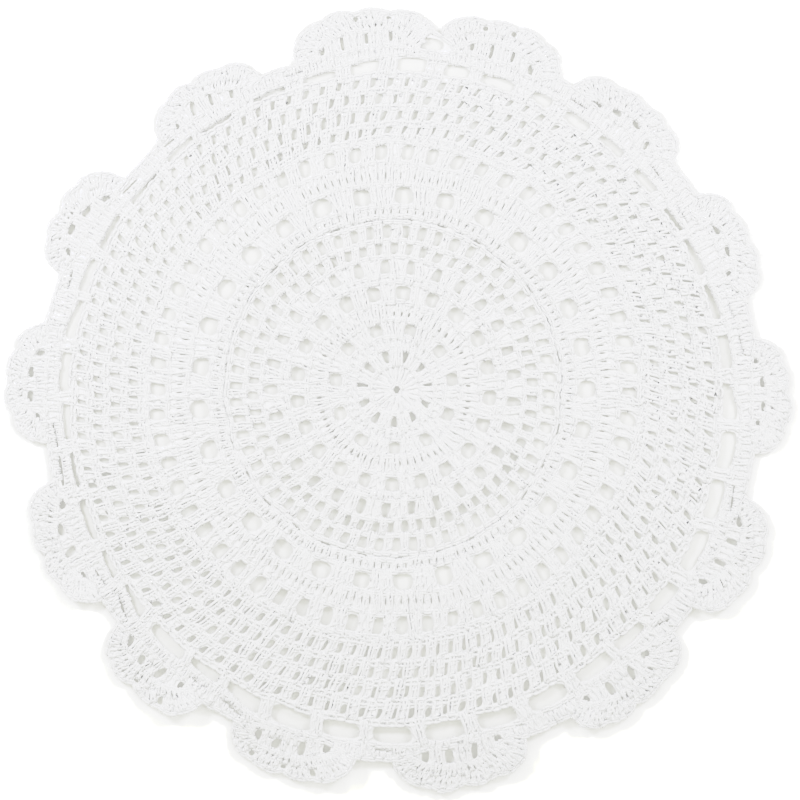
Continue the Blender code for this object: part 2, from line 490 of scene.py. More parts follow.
# %% The rounds from the middle ring to the net
ROUNDS = (
    # name, inner and outer radius in mm, repeats in the round, where the first one starts, lean
    # and sway in degrees, strands and mm width of a stitch, share of it at the foot, where the
    # feet and tops stand in a repeat, and its chain loops
    ("star", 3.4, 11.1, 22, 0.0, 0.0, 0.0, 3, 2.7, 0.45, (0.5,), (0.5,), 1),
    ("petals", 11.1, 18.2, 11, 8.25, 0.0, 0.0, 3, 2.8, 0.9, (0.25, 0.50, 0.75), (0.29, 0.50, 0.71), 4),
    ("short", 18.2, 22.7, 44, 4.0, 0.0, 0.0, 3, 3.0, 0.9, (0.5,), (0.5,), 1),
    ("small_fans", 22.7, 30.3, 11, 7.93, 0.0, 0.0, 3, 3.2, 0.9,
     (0.30, 0.43, 0.57, 0.70), (0.235, 0.41, 0.59, 0.765), 6),
    ("middle_band", 30.3, 38.3, 66, 2.0, 0.0, 0.0, 3, 3.2, 1.0, (0.5,), (0.5,), 1),
    ("star_pairs", 38.3, 46.8, 21, 14.2, 0.0, 2.9, 3, 3.6, 1.0, (0.36, 0.64), (0.36, 0.64), 4),
    ("low_in", 46.8, 49.5, 84, 1.0, 0.0, 2.4, 3, 3.2, 1.0, (0.5,), (0.5,), 1),
    ("v_stitches", 49.5, 57.9, 29, 6.47, 0.0, 0.6, 4, 3.9, 1.0, (0.37, 0.63), (0.27, 0.73), 4),
    ("ladder_in", 57.9, 65.0, 58, 2.64, -0.6, 0.6, 4, 4.0, 1.0, (0.5,), (0.5,), 2),
    ("ladder_out", 65.0, 73.0, 58, 4.59, -0.6, 0.6, 4, 4.3, 1.0, (0.5,), (0.5,), 2),
    ("half_band", 75.9, 80.8, 145, 1.0, 0.0, 0.0, 3, 3.2, 1.0, (0.5,), (0.5,), 1),
    ("ring_fans", 80.8, 90.6, 29, 12.3, 0.0, 0.0, 3, 3.4, 1.0,
     (0.33, 0.445, 0.555, 0.67), (0.26, 0.42, 0.58, 0.74), 6),
    ("solid_band", 90.6, 99.4, 174, 1.0, 0.0, 0.0, 3, 3.3, 1.0, (0.5,), (0.5,), 1),
    ("pairs", 99.4, 109.0, 58, 5.73, -0.6, 0.5, 3, 3.6, 1.0, (0.36, 0.64), (0.36, 0.64), 3),
    ("low_out", 109.0, 111.4, 174, 1.0, 0.0, 0.5, 3, 3.6, 1.0, (0.5,), (0.5,), 1),
    ("net_1", 111.4, 119.3, 58, 3.71, -0.9, 0.7, 4, 4.7, 1.0, (0.27, 0.73), (0.27, 0.73), 4),
    ("net_2", 119.3, 127.3, 116, 1.81, -0.8, 0.7, 4, 4.8, 1.0, (0.5,), (0.5,), 2),
    ("net_3", 127.3, 135.2, 116, 2.63, -0.8, 0.7, 4, 5.1, 1.0, (0.5,), (0.5,), 2),
    ("net_4", 135.2, 142.8, 116, 0.37, -0.8, 0.7, 4, 5.4, 1.0, (0.5,), (0.5,), 2),
)
SWAY_TOWARD = 135.0     # degrees, where a round that sways is turned furthest on
print(len(ROUNDS), "rounds in the chart")


def swayed(degrees, sway):
    return degrees + sway * np.cos(np.radians(degrees - SWAY_TOWARD))


# %% [markdown]
# ## The openings between the stitches
# Where stitches stand apart, the web inside them has to be cut out. Each opening is a
# rounded box between two neighbours, so a formula bends a circle towards its corners.
# Along its sides it stays hidden under the thread, which then draws the edge.

# %% Openings of the web
HOLE_POINTS = 12
HOLE_BOX = 2.7          # 2 is an ellipse, and more is nearer to a box
WEB_UNDER = 0.45        # mm that a stitch covers the edge of the web
WEB_BESIDE_CHAIN = 1.05 # mm from the middle of a chain to the opening beside it
OPEN_FROM = 0.9         # mm between stitches, from which the web is cut
MOST_BESIDE = 0.42      # share of the way to its neighbour that a stitch may cover
web_holes = []


def hole_between(foot_a, foot_b, top_a, top_b, points=HOLE_POINTS, box=HOLE_BOX):
    """A rounded opening between two neighbouring stitches, in chart mm."""
    turn = 2.0 * math.pi * (np.arange(points) + 0.5) / points
    p = (0.5 + 0.5 * signed_power(np.cos(turn), 2.0 / box))[:, None]
    q = (0.5 + 0.5 * signed_power(np.sin(turn), 2.0 / box))[:, None]
    low = foot_a * (1.0 - p) + foot_b * p
    high = top_a * (1.0 - p) + top_b * p
    return low * (1.0 - q) + high * q


# how openings are drawn that differ from that
CRACK_FORM = {"points": 6, "box": 2.0}
WINDOW_FORM = {"points": 24, "box": 3.2}
HANDLE_FORM = {"points": 24, "box": 3.0}
SLIT_FORM = {"box": 3.4}


def cut(where, low_a, low_b, high_a, high_b, **form):
    """Cuts an opening, whose corners are radius and degrees, by one way of placing them."""
    web_holes.append(hole_between(*(where(*corner) for corner in (low_a, low_b, high_a, high_b)), **form))


# %% The net is tighter on one side
NET_FROM = 110.0        # mm radius, from which the rounds are the outer net
NET_CHAIN_FULLER = 1.72 # how much fuller the net's chains are
NET_BESIDE = 0.6        # mm more between a net chain and its openings
TIGHT_SIDE_DEG = 8.0    # the net was pulled tighter on its right side,
TIGHT_SIDE = 0.20       # where its stitches stand fuller by this share,
TIGHT_CHAIN = 0.30      # its chains by this share,
TIGHT_BESIDE = 0.35     # and its openings are that many mm further from the chains
DENSE_SIDE_DEG = 235.0  # at the lower left only its chains are fuller, by the next share, and
DENSE_CHAIN = 0.18      # its openings are that many mm further from them
DENSE_BESIDE = 0.25


def tightness(degrees, toward=TIGHT_SIDE_DEG):
    """How much of the tightness of one side of the net is felt at these degrees."""
    return np.maximum(0.0, np.cos(np.radians(degrees - toward)))


def cut_round(inner, outer, foot_deg, top_deg, width, narrow=1.0):
    """Cuts the openings between the stitches of a round that stand far enough apart."""
    for a in range(len(foot_deg)):
        beside_chain = WEB_BESIDE_CHAIN
        if inner > NET_FROM:
            beside_chain += NET_BESIDE + TIGHT_BESIDE * float(tightness(foot_deg[a]))
            beside_chain += DENSE_BESIDE * float(tightness(foot_deg[a], DENSE_SIDE_DEG))
        low, high = inner + beside_chain, outer - beside_chain
        b = (a + 1) % len(foot_deg)
        turn_on = 360.0 if b == 0 else 0.0
        low_gap = math.radians(foot_deg[b] + turn_on - foot_deg[a]) * inner
        high_gap = math.radians(top_deg[b] + turn_on - top_deg[a]) * outer
        if 0.5 * (low_gap + high_gap) - width < OPEN_FROM:
            continue
        beside = 0.5 * width - WEB_UNDER
        beside_low = math.degrees(min(beside * narrow, MOST_BESIDE * low_gap) / low)
        beside_high = math.degrees(min(beside, MOST_BESIDE * high_gap) / high)
        cut(
            place,
            (low, foot_deg[a] + beside_low),
            (low, foot_deg[b] + turn_on - beside_low),
            (high, top_deg[a] + beside_high),
            (high, top_deg[b] + turn_on - beside_high),
        )


# %% [markdown]
# ## Working the rounds
# Stitches and chain loops are laid down by piece: a few neighbouring rounds become one
# piece, because thousands of single objects would be slow. In the close rounds a thin
# crack stays open between every two stitches, and it is what tells them apart.

# %% Stitches and chains are laid down by piece
work = {}               # piece name: list of swept groups
stitch_count = link_count = 0


def add_posts(piece, base, top, strands=3, width=STITCH_WIDTH, narrow=1.0, fuller=1.0):
    global stitch_count
    groups = post_paths(to_frame(base), to_frame(top), strands, width, narrow, fuller)
    work.setdefault(piece, []).extend(groups)
    stitch_count += len(base)


def add_links(piece, start, end, fuller=1.0):
    global link_count
    work.setdefault(piece, []).extend(link_paths(to_frame(start), to_frame(end), fuller))
    link_count += len(start)


def add_chain(piece, radius, first_deg, count, sway=0.0, fuller=1.0):
    """A closed chain of count loops at this radius, the first one centred at first_deg."""
    edges = first_deg + 360.0 * (np.arange(count) - 0.5) / count
    start = place(radius, swayed(edges, sway))
    end = place(radius, swayed(edges + 360.0 / count, sway))
    add_links(piece, start, end, fuller)


# %% Which piece each round belongs to, and the cracks of close rounds
CRACKS = {
    # name: how wide the crack between two stitches is, from and to which share of them
    "middle_band": (0.9, 0.20, 0.52),
    "half_band": (0.6, 0.22, 0.70),
    "solid_band": (0.6, 0.20, 0.58),
}
ROUNDS_OF_PIECE = {
    "centre_rounds": ("star", "petals", "short", "small_fans", "middle_band", "star_pairs", "low_in"),
    "inner_net": ("v_stitches", "ladder_in", "ladder_out", "half_band"),
    "solid_rounds": ("ring_fans", "solid_band"),
    "ladder_rounds": ("pairs", "low_out", "net_1"),
    "outer_net_a": ("net_2",),
    "outer_net_b": ("net_3", "net_4"),
}
PIECE_OF_ROUND = {name: piece for piece, names in ROUNDS_OF_PIECE.items() for name in names}

# %% Work the rounds of the chart
for name, inner, outer, repeats, first, lean, sway, strands, width, narrow, feet, tops, links in ROUNDS:
    pitch = 360.0 / repeats
    repeat_deg = first + pitch * np.arange(repeats)[:, None]
    foot_deg = (repeat_deg + pitch * np.array(feet)[None, :]).ravel() - 0.5 * lean
    top_deg = (repeat_deg + pitch * np.array(tops)[None, :]).ravel() + 0.5 * lean
    foot_deg, top_deg = swayed(foot_deg, sway), swayed(top_deg, sway)
    piece = PIECE_OF_ROUND[name]
    base = place(np.full(foot_deg.shape, inner), foot_deg)
    top = place(np.full(top_deg.shape, outer), top_deg)
    tighter = TIGHT_SIDE * tightness(foot_deg)
    add_posts(piece, base, top, strands, width, narrow, 1.0 + (tighter if inner > NET_FROM else 0.0))
    chain_deg = first + 0.5 * lean + pitch * (tops[0] if links < 3 else 0.5 + 0.5 / links)
    chain_fuller = 1.0
    if outer > NET_FROM:
        link_deg = chain_deg + 360.0 * np.arange(repeats * links) / (repeats * links)
        tight, dense = tightness(link_deg), tightness(link_deg, DENSE_SIDE_DEG)
        chain_fuller = NET_CHAIN_FULLER * (1.0 + TIGHT_CHAIN * tight + DENSE_CHAIN * dense)
    add_chain(piece, outer, chain_deg, repeats * links, sway, chain_fuller)
    cut_round(inner, outer, foot_deg, top_deg, width, narrow)
    if name in CRACKS:
        wide, low, high = CRACKS[name]
        radii = inner + (outer - inner) * low, inner + (outer - inner) * high
        halves = [math.degrees(0.5 * wide / radius) for radius in radii]
        for degrees in first + pitch * (np.arange(repeats) + feet[0] + 0.5):
            corners = [(r, degrees + side * half) for r, half in zip(radii, halves) for side in (-1, 1)]
            cut(place, *corners, **CRACK_FORM)
print(stitch_count, "stitches and", link_count, "chain loops so far")

# %% The ring of chain in which the doily starts
RING_LINKS = 6
RING_RADIUS, RING_HOLE = 2.9, 1.7       # mm
ring_deg = 360.0 * np.arange(RING_LINKS + 1) / RING_LINKS
add_links("centre_rounds", place(RING_RADIUS, ring_deg[:-1]), place(RING_RADIUS, ring_deg[1:]))
web_holes.append(place(RING_HOLE, np.arange(0.0, 360.0, 45.0)))
print("one ring of", RING_LINKS, "loops in the middle")

# %% [markdown]
# ## The chain arches inside the band
# Between the inner net and the band the thread runs in 29 low arches of five chains,
# caught down between each pair. Under each arch a thin slit stays open.

# %% Low chain arches
ARCH_ROUND_COUNT = 29
ARCH_ROUND_FIRST = 10.91
ARCH_LINKS = 5
ARCH_LOW, ARCH_HIGH = 75.1, 76.0        # mm radius of its chain
ARCH_FULLNESS = 0.6
edge = np.arange(ARCH_ROUND_COUNT * ARCH_LINKS + 1) / ARCH_LINKS
arch_deg = ARCH_ROUND_FIRST + 360.0 / ARCH_ROUND_COUNT * (edge - 0.5)
arch_radius = ARCH_LOW + (ARCH_HIGH - ARCH_LOW) * np.abs(np.sin(math.pi * edge)) ** ARCH_FULLNESS
arch_line = place(arch_radius, arch_deg)
add_links("inner_net", arch_line[:-1], arch_line[1:])
SLIT_INNER, SLIT_WIDE, SLIT_LONG = 74.0, 1.0, 5.0      # mm
half = math.degrees(0.5 * SLIT_LONG / SLIT_INNER)
for middle in ARCH_ROUND_FIRST + 360.0 / ARCH_ROUND_COUNT * np.arange(ARCH_ROUND_COUNT):
    radii = SLIT_INNER, SLIT_INNER + SLIT_WIDE
    cut(place, *((radius, middle + side * half) for radius in radii for side in (-1, 1)))
print(ARCH_ROUND_COUNT, "low arches of", ARCH_LINKS, "loops")

# %% [markdown]
# ## The long arches
# Outside the net, pairs of stitches carry a long chain, three windows to each fan. Here
# the work was pulled about most, so each window has a row of its own, measured from the
# middle of the finished doily: some are wide open and some are nearly shut.

# %% Windows of the long arches
NET_EDGE = 142.8        # mm radius
WINDOWS = (
    # start_deg, end_deg, and the radius of its outer edge at each
    (-3.4, 2.6, 152.0, 148.4),
    (5.3, 11.2, 149.6, 149.4),
    (14.2, 20.2, 148.8, 146.8),
    (22.4, 28.6, 148.2, 147.4),
    (30.6, 35.4, 147.8, 146.6),
    (38.8, 43.8, 148.6, 148.0),
    (47.4, 52.2, 149.2, 148.8),
    (54.8, 59.4, 149.0, 149.4),
    (62.6, 66.0, 150.2, 149.8),
    (69.4, 75.2, 149.8, 150.2),
    (77.8, 81.6, 150.4, 151.0),
    (84.8, 89.8, 151.8, 152.4),
    (93.2, 98.0, 151.4, 150.2),
    (101.0, 106.6, 149.0, 148.6),
    (110.0, 115.6, 148.2, 148.4),
    (120.0, 126.4, 147.4, 147.8),
    (128.2, 134.0, 149.2, 148.6),
    (137.0, 143.6, 147.4, 148.4),
    (146.8, 153.2, 150.0, 149.8),
    (155.4, 161.2, 150.4, 150.8),
    (163.0, 169.2, 149.0, 152.0),
    (172.0, 178.6, 151.4, 151.6),
    (181.0, 187.0, 149.8, 149.6),
    (189.6, 195.2, 148.6, 148.6),
    (198.0, 204.6, 149.8, 150.4),
    (207.2, 212.4, 148.8, 150.6),
    (214.6, 220.2, 147.6, 151.6),
    (223.2, 230.2, 151.6, 152.0),
    (232.0, 237.4, 150.0, 150.6),
    (239.4, 246.0, 150.2, 154.6),
    (248.4, 255.0, 154.0, 153.6),
    (257.2, 263.2, 152.8, 152.6),
    (266.0, 272.2, 153.0, 153.4),
    (275.0, 281.4, 153.0, 152.6),
    (284.2, 290.6, 152.0, 152.4),
    (293.6, 300.0, 152.4, 152.0),
    (303.0, 309.6, 150.8, 151.6),
    (311.6, 317.2, 150.0, 150.2),
    (320.4, 326.2, 149.6, 151.4),
    (329.4, 336.6, 151.6, 152.0),
    (339.2, 345.6, 151.2, 151.0),
    (348.0, 354.2, 151.2, 152.2),
)
CHAIN_BEYOND = 1.1      # mm from an opening's edge to the middle of the chain beside it
WINDOW_MIDDLE = 147.0   # mm radius
THREE_POSTS_FROM = 8.4  # mm between two windows, from which three stitches part them
WIDEST_POST = 4.2       # mm
WINDOW_INSET_DEG = 0.25 # how far a window runs on under the stitches beside it
POST_OVERLAP = 0.2      # mm that neighbouring stitches share
window_table = np.array(WINDOWS)


# %% The chain that runs outside the windows
def around(degrees, knot_deg, knot_radius):
    """A radius that runs evenly from knot to knot, right round the doily."""
    order = np.argsort(np.asarray(knot_deg) % 360.0)
    knots = np.asarray(knot_deg)[order] % 360.0
    radii = np.asarray(knot_radius)[order]
    return np.interp(np.asarray(degrees) % 360.0, knots, radii, period=360.0)


def arch_radius(degrees):
    start_end, radii = window_table[:, :2], window_table[:, 2:]
    return around(degrees, start_end.ravel(), radii.ravel() + CHAIN_BEYOND)


def add_line(piece, points):
    """A chain whose loops meet at these points."""
    add_links(piece, points[:-1], points[1:])


ARCH_CHAIN_LINKS = 292
edge = 360.0 * np.arange(ARCH_CHAIN_LINKS + 1) / ARCH_CHAIN_LINKS
add_line("arches", measured(arch_radius(edge), edge))
print("first chain of", ARCH_CHAIN_LINKS, "loops")

# %% The stitches between the windows, and the windows
for index, (start, end, first_radius, last_radius) in enumerate(WINDOWS):
    beyond = WINDOWS[(index + 1) % len(WINDOWS)][0] + (360.0 if index + 1 == len(WINDOWS) else 0.0)
    wide = math.radians(beyond - end) * WINDOW_MIDDLE
    count = 3 if wide > THREE_POSTS_FROM else 2
    post_deg = end + (beyond - end) * (np.arange(count) + 0.5) / count
    foot = place(np.full(count, NET_EDGE), post_deg)
    top = measured(arch_radius(post_deg), post_deg)
    add_posts("arches", foot, top, width=min(wide / count + POST_OVERLAP, WIDEST_POST))
    low = NET_EDGE + WEB_BESIDE_CHAIN
    first, last = start - WINDOW_INSET_DEG, end + WINDOW_INSET_DEG
    corners = place(low, [first, last]), measured([first_radius, last_radius], [first, last])
    web_holes.append(hole_between(*corners[0], *corners[1], **WINDOW_FORM))
print(len(WINDOWS), "long arches")

# %% [markdown]
# ## The fans
# A second chain runs outside the arches and comes to the edge in the valleys. The fans
# are worked into it: tall stitches with four gaps among them, and then a rim of two rows
# whose stitches spread to the scallops. Columns of stitches fill the cloth from the
# arches to the rim, and stand closely round every gap.

# %% The gaps of the fans
FAN_GAPS = (
    # for each fan four times: degrees, radius, wide mm, high mm, lean mm
    ((-3.8, 160.2, 2.2, 2.0, 0.0), (-1.2, 162.2, 4.2, 2.0, 0.0),
     (2.6, 162.0, 4.6, 2.2, 0.0), (6.4, 159.8, 4.2, 2.4, 0.0)),
    ((20.8, 156.6, 1.8, 3.2, 0.8), (24.1, 160.5, 4.6, 2.2, 0.0),
     (28.1, 160.2, 5.0, 2.3, 0.0), (32.0, 156.4, 3.4, 2.8, -0.8)),
    ((45.7, 157.4, 2.0, 4.4, 1.0), (49.0, 161.3, 4.4, 2.4, 0.0),
     (52.6, 160.2, 4.6, 2.6, 0.0), (56.0, 158.2, 4.6, 1.8, 0.0)),
    ((68.1, 157.5, 2.6, 5.0, 0.8), (71.5, 160.2, 1.5, 4.6, 0.0),
     (75.0, 159.8, 1.7, 6.2, 0.0), (78.2, 160.0, 2.0, 3.4, 0.0)),
    ((91.2, 161.6, 1.7, 4.6, 0.0), (95.1, 160.8, 1.7, 4.4, 0.0),
     (99.0, 160.0, 1.8, 6.4, 0.0), (102.4, 158.2, 2.4, 3.8, -0.8)),
    ((118.7, 154.6, 2.2, 3.4, -0.8), (122.1, 157.0, 1.8, 5.2, -1.0),
     (125.3, 158.2, 2.8, 6.0, -2.2), (129.1, 156.2, 2.2, 2.6, 0.0)),
    ((145.6, 157.6, 3.4, 2.8, 0.6), (149.0, 162.0, 5.2, 3.0, 0.0),
     (152.6, 163.8, 5.0, 2.8, 0.0), (156.3, 160.8, 4.6, 2.8, -1.2)),
    ((172.7, 160.4, 2.4, 3.8, 0.8), (175.8, 163.6, 4.8, 2.4, 0.0),
     (179.6, 163.6, 4.8, 2.8, 0.0), (182.9, 160.6, 3.6, 2.2, -0.8)),
    ((197.5, 156.6, 3.4, 3.0, 0.8), (201.2, 161.0, 5.4, 3.0, 0.0),
     (205.0, 161.0, 3.4, 5.6, 1.6), (209.4, 160.4, 4.6, 1.8, 0.0)),
    ((222.0, 161.0, 3.4, 4.8, 0.8), (225.4, 162.8, 3.0, 4.4, 0.6),
     (229.0, 161.4, 2.9, 6.6, -1.6), (232.7, 159.8, 2.4, 3.8, 0.0)),
    ((247.3, 161.8, 3.0, 4.8, 0.0), (250.5, 162.4, 3.8, 5.0, -1.4),
     (254.5, 161.4, 3.3, 6.6, 0.0), (258.4, 158.8, 3.6, 3.8, 0.0)),
    ((274.3, 159.6, 3.4, 5.2, -0.6), (278.1, 160.6, 4.2, 6.4, 0.0),
     (282.2, 159.8, 2.8, 7.2, -1.2), (286.4, 157.0, 3.8, 2.6, 0.0)),
    ((302.1, 157.2, 2.4, 3.8, 0.6), (306.2, 159.6, 3.3, 6.6, 0.0),
     (310.4, 159.8, 3.2, 6.4, -2.0), (314.0, 157.8, 4.0, 3.2, 0.0)),
    ((329.0, 157.8, 2.2, 4.4, 0.6), (333.0, 160.6, 2.2, 6.0, 0.0),
     (336.8, 161.4, 2.4, 5.6, 0.0), (340.3, 161.2, 5.0, 3.0, -1.0)),
)

# %% The thin slits beside the arches
SLITS = (
    # start_deg, end_deg, radius at each, high mm
    (7.0, 11.0, 155.5, 154.0, 1.0),
    (13.5, 16.2, 153.5, 153.2, 0.6),
    (31.5, 35.2, 150.6, 151.2, 0.6),
    (39.0, 43.5, 152.5, 153.4, 0.9),
    (57.0, 60.0, 154.0, 154.0, 0.9),
    (62.0, 65.0, 154.0, 154.0, 0.6),
    (106.0, 109.4, 152.0, 152.0, 0.6),
    (130.4, 133.2, 152.8, 153.2, 0.8),
    (140.0, 143.4, 152.0, 153.0, 0.9),
    (158.4, 161.8, 156.0, 155.0, 1.0),
    (184.0, 188.2, 154.2, 153.0, 0.9),
    (189.5, 194.6, 153.0, 154.0, 1.4),
    (209.0, 212.4, 155.0, 154.6, 0.9),
    (215.0, 219.6, 152.2, 156.4, 1.2),
    (233.0, 236.0, 154.4, 155.0, 0.9),
    (239.5, 243.8, 154.8, 157.6, 1.4),
    (258.4, 262.2, 154.6, 155.0, 0.6),
    (266.0, 268.8, 156.0, 157.2, 1.0),
    (287.0, 292.6, 154.6, 154.8, 1.1),
    (294.4, 300.0, 154.8, 154.6, 0.5),
    (318.4, 321.0, 152.5, 155.5, 1.3),
    (341.4, 345.6, 156.0, 154.5, 1.2),
)
# between two fans at the top a chain runs clear of the edge: start_deg, end_deg, low radius,
# and high radius at the start and at the end of the window under it
HANDLE_WINDOW = (82.7, 88.0, 155.8, 161.0, 162.0)
HANDLE = ((81.2, 159.4), (83.2, 162.2), (85.4, 164.6), (87.8, 167.4))   # degrees, radius

# %% Cut the openings of the edging
gaps = sorted(gap for fan in FAN_GAPS for gap in fan)
openings = []           # start_deg, end_deg, low and high radius at the start, and at the end
for degrees, radius, wide, high, lean in gaps:
    half = math.degrees(0.5 * wide / radius)
    slant = math.degrees(0.5 * lean / radius)
    low, top = radius - 0.5 * high, radius + 0.5 * high
    start, end = degrees - half, degrees + half
    openings.append((start, end, low, top, low, top))
    cut(measured, (low, start - slant), (low, end - slant), (top, start + slant), (top, end + slant))
for start, end, first_radius, last_radius, high in SLITS:
    low, low_end = first_radius - 0.5 * high, last_radius - 0.5 * high
    top, top_end = first_radius + 0.5 * high, last_radius + 0.5 * high
    openings.append((start, end, low, top, low_end, top_end))
    cut(measured, (low, start), (low_end, end), (top, start), (top_end, end), **SLIT_FORM)
start, end, low, top, top_end = HANDLE_WINDOW
openings.append((start, end, low, top, low, top_end))
cut(measured, (low, start), (low, end), (top, start), (top_end, end), **HANDLE_FORM)
add_line("arches", np.stack([measured(radius, degrees) for degrees, radius in HANDLE]))
print(len(openings), "openings in the edging")

# %% [markdown]
# ## The second chain
# The fans are worked into a chain that runs under their gaps and comes out to the edge in
# the valleys. Its radius follows from the tables above, so nothing about it is typed in.

# %% The outer chain, under the gaps and out to the edge in the valleys
EDGE_INSET = 1.35       # mm, from the outline to the middle of the outermost chain
MOST_OUTER_CHAIN = 157.2    # mm, its largest radius under a fan
HANDLE_NEAR = 5.0       # degrees past a valley, where the window under the handle may end
knot_deg, knot_radius = [], []
for degrees, radius, _, high, _ in gaps:
    knot_deg.append(degrees)
    knot_radius.append(min(MOST_OUTER_CHAIN, radius - 0.5 * high - CHAIN_BEYOND))
for index, shell in enumerate(SHELLS):
    beyond = SHELLS[(index + 1) % len(SHELLS)][1]
    at_edge = (shell[4] - EDGE_INSET) * frame_scale
    if shell[2] < HANDLE_WINDOW[1] < beyond + HANDLE_NEAR:
        at_edge = HANDLE_WINDOW[2] - CHAIN_BEYOND
    knot_deg += [shell[2], beyond]
    knot_radius += [at_edge, at_edge]


def outer_radius(degrees):
    return around(degrees, knot_deg, knot_radius)


OUTER_LINKS = 304
edge = 360.0 * np.arange(OUTER_LINKS + 1) / OUTER_LINKS
add_line("arches", measured(outer_radius(edge), edge))
print("second chain of", OUTER_LINKS, "loops")

# %% The inner edge of each rim
FLANK_MM = 5.6          # how deep the rim is at the two ends of a fan
FLANK_RADIUS = 160.0
FLANK_CLEAR_DEG = 0.5   # from its ends to the first and last gap that the rim goes over
OVER_CHAIN = 0.4        # mm from the outer chain to the feet of the rim's stitches
OVER_GAP = 1.3          # mm from a gap to them
flank_deg = math.degrees(FLANK_MM / FLANK_RADIUS)
rim_feet = []           # for each fan, degrees and radius of knots
for fan, shell in zip(FAN_GAPS, SHELLS):
    start, end = shell[1] + flank_deg, shell[2] - flank_deg
    inside = [gap for gap in fan if start + FLANK_CLEAR_DEG < gap[0] < end - FLANK_CLEAR_DEG]
    knots = [(start, float(outer_radius(start)) + OVER_CHAIN)]
    knots += [(gap[0], gap[1] + 0.5 * gap[3] + OVER_GAP) for gap in inside]
    knots += [(end, float(outer_radius(end)) + OVER_CHAIN)]
    rim_feet.append(np.array(knots))


def column_top(degrees):
    """Which fan a place belongs to, and how far out its columns go."""
    for index, knots in enumerate(rim_feet):
        turned = (degrees - knots[0, 0]) % 360.0
        if turned < knots[-1, 0] - knots[0, 0]:
            return index, float(np.interp(turned + knots[0, 0], knots[:, 0], knots[:, 1]))
    away = [abs((degrees - shell[0] + 180.0) % 360.0 - 180.0) for shell in SHELLS]
    return int(np.argmin(away)), float(outer_radius(degrees))


# %% [markdown]
# ## The cloth of the fans
# Between the arches and the rims stitches stand in columns. Every column is cut off at
# the openings that it meets and at the second chain, and a piece that is still long is
# halved, so the same rule fills the cloth whatever the tables say.

# %% Columns of stitches between the arches and the rims
COLUMN_MM = 3.05        # how wide a column is, as near as it can be
COLUMN_MIDDLE = 158.0   # mm radius, at which columns are counted
column_deg, column_wide = [], []
for index, gap in enumerate(gaps):
    half = math.degrees(0.5 * gap[2] / gap[1])
    beyond = gaps[(index + 1) % len(gaps)]
    turn_on = 360.0 if index + 1 == len(gaps) else 0.0
    stop = beyond[0] - math.degrees(0.5 * beyond[2] / beyond[1]) + turn_on
    for left, right in ((gap[0] - half, gap[0] + half), (gap[0] + half, stop)):
        wide = math.radians(right - left) * COLUMN_MIDDLE
        count = max(1, int(round(wide / COLUMN_MM)))
        column_deg += list(left + (right - left) * (np.arange(count) + 0.5) / count)
        column_wide += [wide / count] * count

# %% Cut the columns off at the openings, and lay their stitches down
LEAST_STITCH = 1.7      # mm high
MOST_STITCH = 8.6
TALL_STITCH = 4.6       # mm, from which they are laid down apart from the low ones
UNDER_OPENING, OVER_OPENING = 0.2, 0.6      # mm that stitches keep from an opening
NARROW_COLUMN = 2.9     # mm, below which the stitches are drawn narrower
NARROW_STITCH, WIDE_STITCH = 2.7, 3.3
stitches = {}           # piece, whether tall: list of degrees, foot radius, top radius, width
for degrees, wide in zip(column_deg, column_wide):
    index, top = column_top(degrees)
    runs = [(float(arch_radius(degrees)), top)]
    for start, end, low_a, high_a, low_b, high_b in openings:
        turned = (degrees - start) % 360.0
        if turned > end - start:
            continue
        share = turned / (end - start)
        low, high = low_a + (low_b - low_a) * share, high_a + (high_b - high_a) * share
        left_over = []
        for run_low, run_high in runs:
            left_over.append((run_low, min(run_high, low - UNDER_OPENING)))
            left_over.append((max(run_low, high + OVER_OPENING), run_high))
        runs = left_over
    middle = float(outer_radius(degrees))
    split = []
    for low, high in runs:
        if low + LEAST_STITCH < middle < high - LEAST_STITCH:
            split += [(low, middle), (middle, high)]
        else:
            split.append((low, high))
    for low, high in split:
        if high - low < LEAST_STITCH:
            continue
        parts = math.ceil((high - low) / MOST_STITCH)
        edges = np.linspace(low, high, parts + 1)
        for foot, head in zip(edges[:-1], edges[1:]):
            key = ("fans_a" if index % 2 else "fans_b", head - foot > TALL_STITCH)
            stitches.setdefault(key, []).append((degrees, foot, head, wide))
for (piece, _), rows in stitches.items():
    degrees, foot, head, wide = np.array(rows).T
    for chosen, width in ((wide < NARROW_COLUMN, NARROW_STITCH), (wide >= NARROW_COLUMN, WIDE_STITCH)):
        if chosen.any():
            base = measured(foot[chosen], degrees[chosen])
            add_posts(piece, base, measured(head[chosen], degrees[chosen]), 3, width)
print("columns:", len(column_deg), "with", sum(len(rows) for rows in stitches.values()), "stitches")

# %% [markdown]
# ## The rims
# A rim is two rows deep. The stitches of the outer row stand close at the foot and spread
# at the top, four bunches to a fan, which is what makes the scallops. So the row follows
# two curves at once, the inner edge of the rim and its outline, by shares of their length.

# %% Curves and cracks of a rim
RIM_STITCH_MM = 2.9     # pitch of the stitches
RIM_WIDTH = 3.0         # mm across a stitch
RIM_LOOP_MM = 3.2       # length of the loops of the chain at the foot
RIM_SMOOTH = 0.6        # mm that the smooth rim, without scallops, lies inside the chain
RIM_STEPS_INNER = 41
SPREAD_SHARE = 0.82     # how much closer the feet of a scallop's stitches are than their tops
NOTCH_MARGIN = 1.6      # mm that the stitches keep from an open notch
NOTCH_HALF = 1.2        # mm, half the width of its opening
NOTCH_FROM, NOTCH_TO = 0.2, 1.1     # mm from the foot and the head of the row to it


def evened(points):
    """The share of a curve's length at each of its points, and the length."""
    run = np.concatenate([[0.0], np.cumsum(np.linalg.norm(np.diff(points, axis=0), axis=1))])
    return run / run[-1], run[-1]


def on_curve(curve, want):
    """Points of a curve, which is its points and their shares, at the wanted shares."""
    points, shares = curve
    return np.stack([np.interp(want, shares, points[:, 0]), np.interp(want, shares, points[:, 1])], -1)


